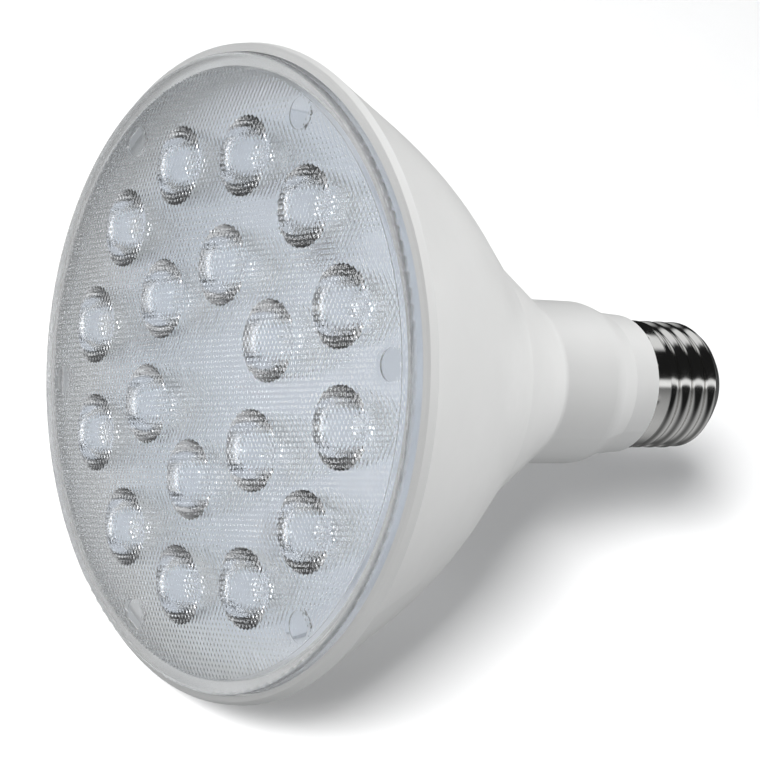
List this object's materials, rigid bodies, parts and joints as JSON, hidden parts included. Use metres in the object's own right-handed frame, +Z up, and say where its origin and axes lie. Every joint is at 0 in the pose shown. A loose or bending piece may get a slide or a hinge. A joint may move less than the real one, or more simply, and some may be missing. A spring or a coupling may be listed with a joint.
{
  "type": "par spotlight bulb",
  "caption": "Reflector-shaped spotlight bulb with a clear multi-lens front, a smooth white conical housing and a threaded metal screw cap.",
  "frame": {"origin": "on the lamp axis, in the plane where the screw cap seats against the collar of the housing", "axes": "+Y along the lamp axis from the lens to the screw cap, +Z up, the lens faces -Y"},
  "size_m": [0.1212, 0.1281, 0.1212],
  "materials": {
    "clear_lens": "clear moulded acrylic, polished, with a fine embossed face",
    "white_housing": "smooth satin white",
    "pressed_aluminium": "bare pressed sheet",
    "white_board": "white solder mask on a metal core",
    "led_package": "white body with a yellow phosphor window",
    "zinc_steel": "zinc plated",
    "nickel_plate": "bright nickel plate",
    "black_insulator": "glossy black vitreous",
    "tinned_brass": "brass with a solder-tinned tip",
    "green_board": "green solder mask",
    "ferrite": "dark grey ceramic",
    "yellow_tape": "yellow tape",
    "black_sleeve": "shrunk sleeve",
    "resistor_coat": "lacquer",
    "film_case": "moulded case",
    "chip_black": "moulded package",
    "wire_black": "insulated wire",
    "wire_white": "insulated wire",
    "wire_red": "insulated wire"
  },
  "bodies": {
    "root": {"lens_plate": "clear_lens", "housing": "white_housing", "heat_sink": "pressed_aluminium", "led_board": "white_board", "board_screws": "zinc_steel", "screw_shell": "nickel_plate", "cap_insulator": "black_insulator", "centre_contact": "tinned_brass", "driver_board": "green_board", "transformer_core": "ferrite", "transformer_winding": "yellow_tape", "bulk_capacitor": "black_sleeve", "output_capacitor": "black_sleeve", "fuse_resistor": "resistor_coat", "film_capacitor": "film_case", "bridge_rectifier": "chip_black", "control_chip": "chip_black", "live_lead": "wire_black", "neutral_lead": "wire_white", "led_positive_lead": "wire_red", "led_negative_lead": "wire_black", "led_01": "led_package", "led_02": "led_package", "led_03": "led_package", "led_04": "led_package", "led_05": "led_package", "led_06": "led_package", "led_07": "led_package", "led_08": "led_package", "led_09": "led_package", "led_10": "led_package", "led_11": "led_package", "led_12": "led_package", "led_13": "led_package", "led_14": "led_package", "led_15": "led_package", "led_16": "led_package", "led_17": "led_package", "led_18": "led_package"}
  },
  "joints": []
}
